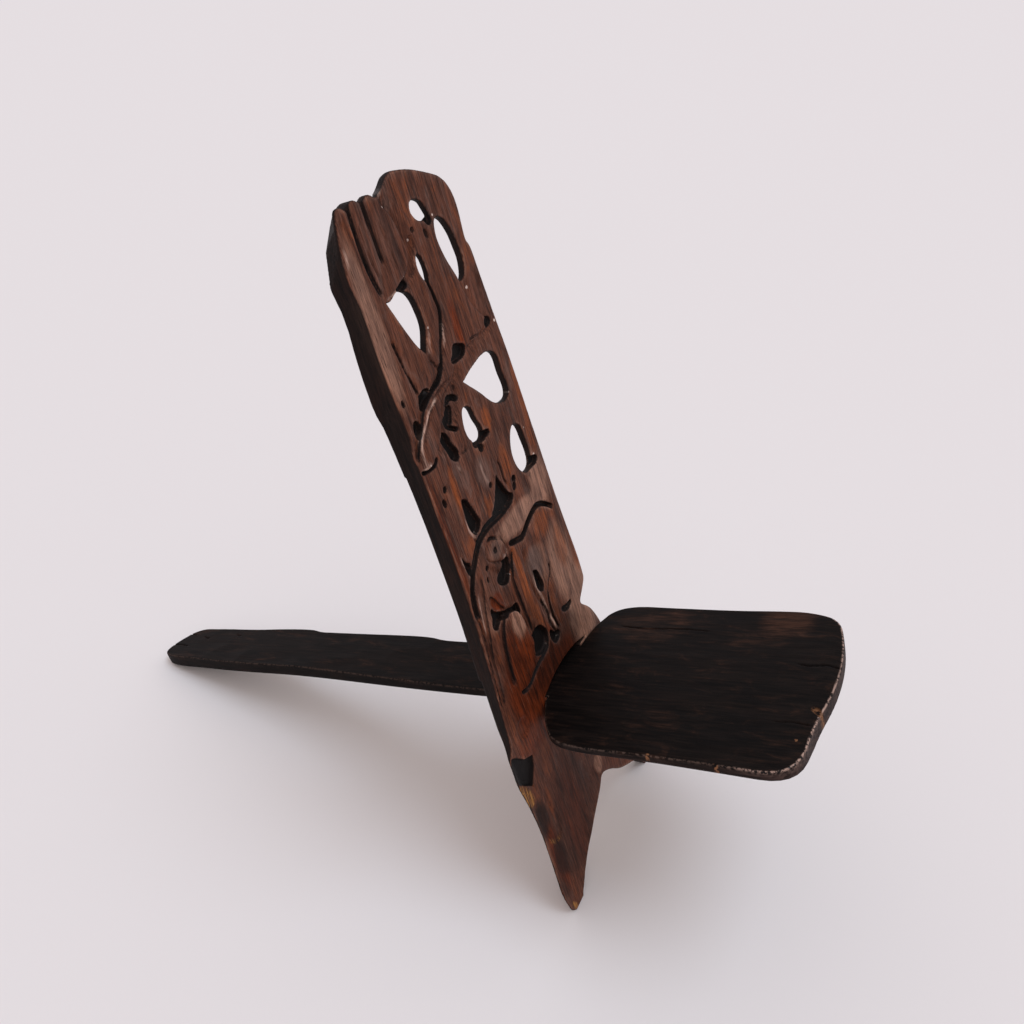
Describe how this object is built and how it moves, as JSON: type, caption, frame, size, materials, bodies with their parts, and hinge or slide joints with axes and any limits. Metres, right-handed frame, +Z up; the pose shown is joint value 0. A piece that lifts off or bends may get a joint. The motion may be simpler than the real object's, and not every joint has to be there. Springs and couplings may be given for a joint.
{
  "type": "carved folding plank chair",
  "caption": "Low chair of interlocking carved planks: a pierced back stands on its feet and a seat plank slides through a slot in it, its tail resting on the floor behind.",
  "frame": {"origin": "centre of the overall bounding box, at floor level", "axes": "+X to the right as the sitter's front is viewed, +Y from the seat's front to the tail's end, +Z up from the floor"},
  "size_m": [0.3216, 1.0542, 0.868],
  "materials": {
    "red_brown_wood": "hand-rubbed satin, worn to bare brown on proud parts",
    "dark_wood": "dark satin polish from use"
  },
  "bodies": {
    "back": {"back_plank": "red_brown_wood"},
    "seat": {"seat_plank": "dark_wood"}
  },
  "joints": [
    {"name": "seat_slide", "type": "slide", "parent": "back", "child": "seat", "axis": [0, -0.9455, 0.3256], "range_m": [0, 0.8]}
  ]
}
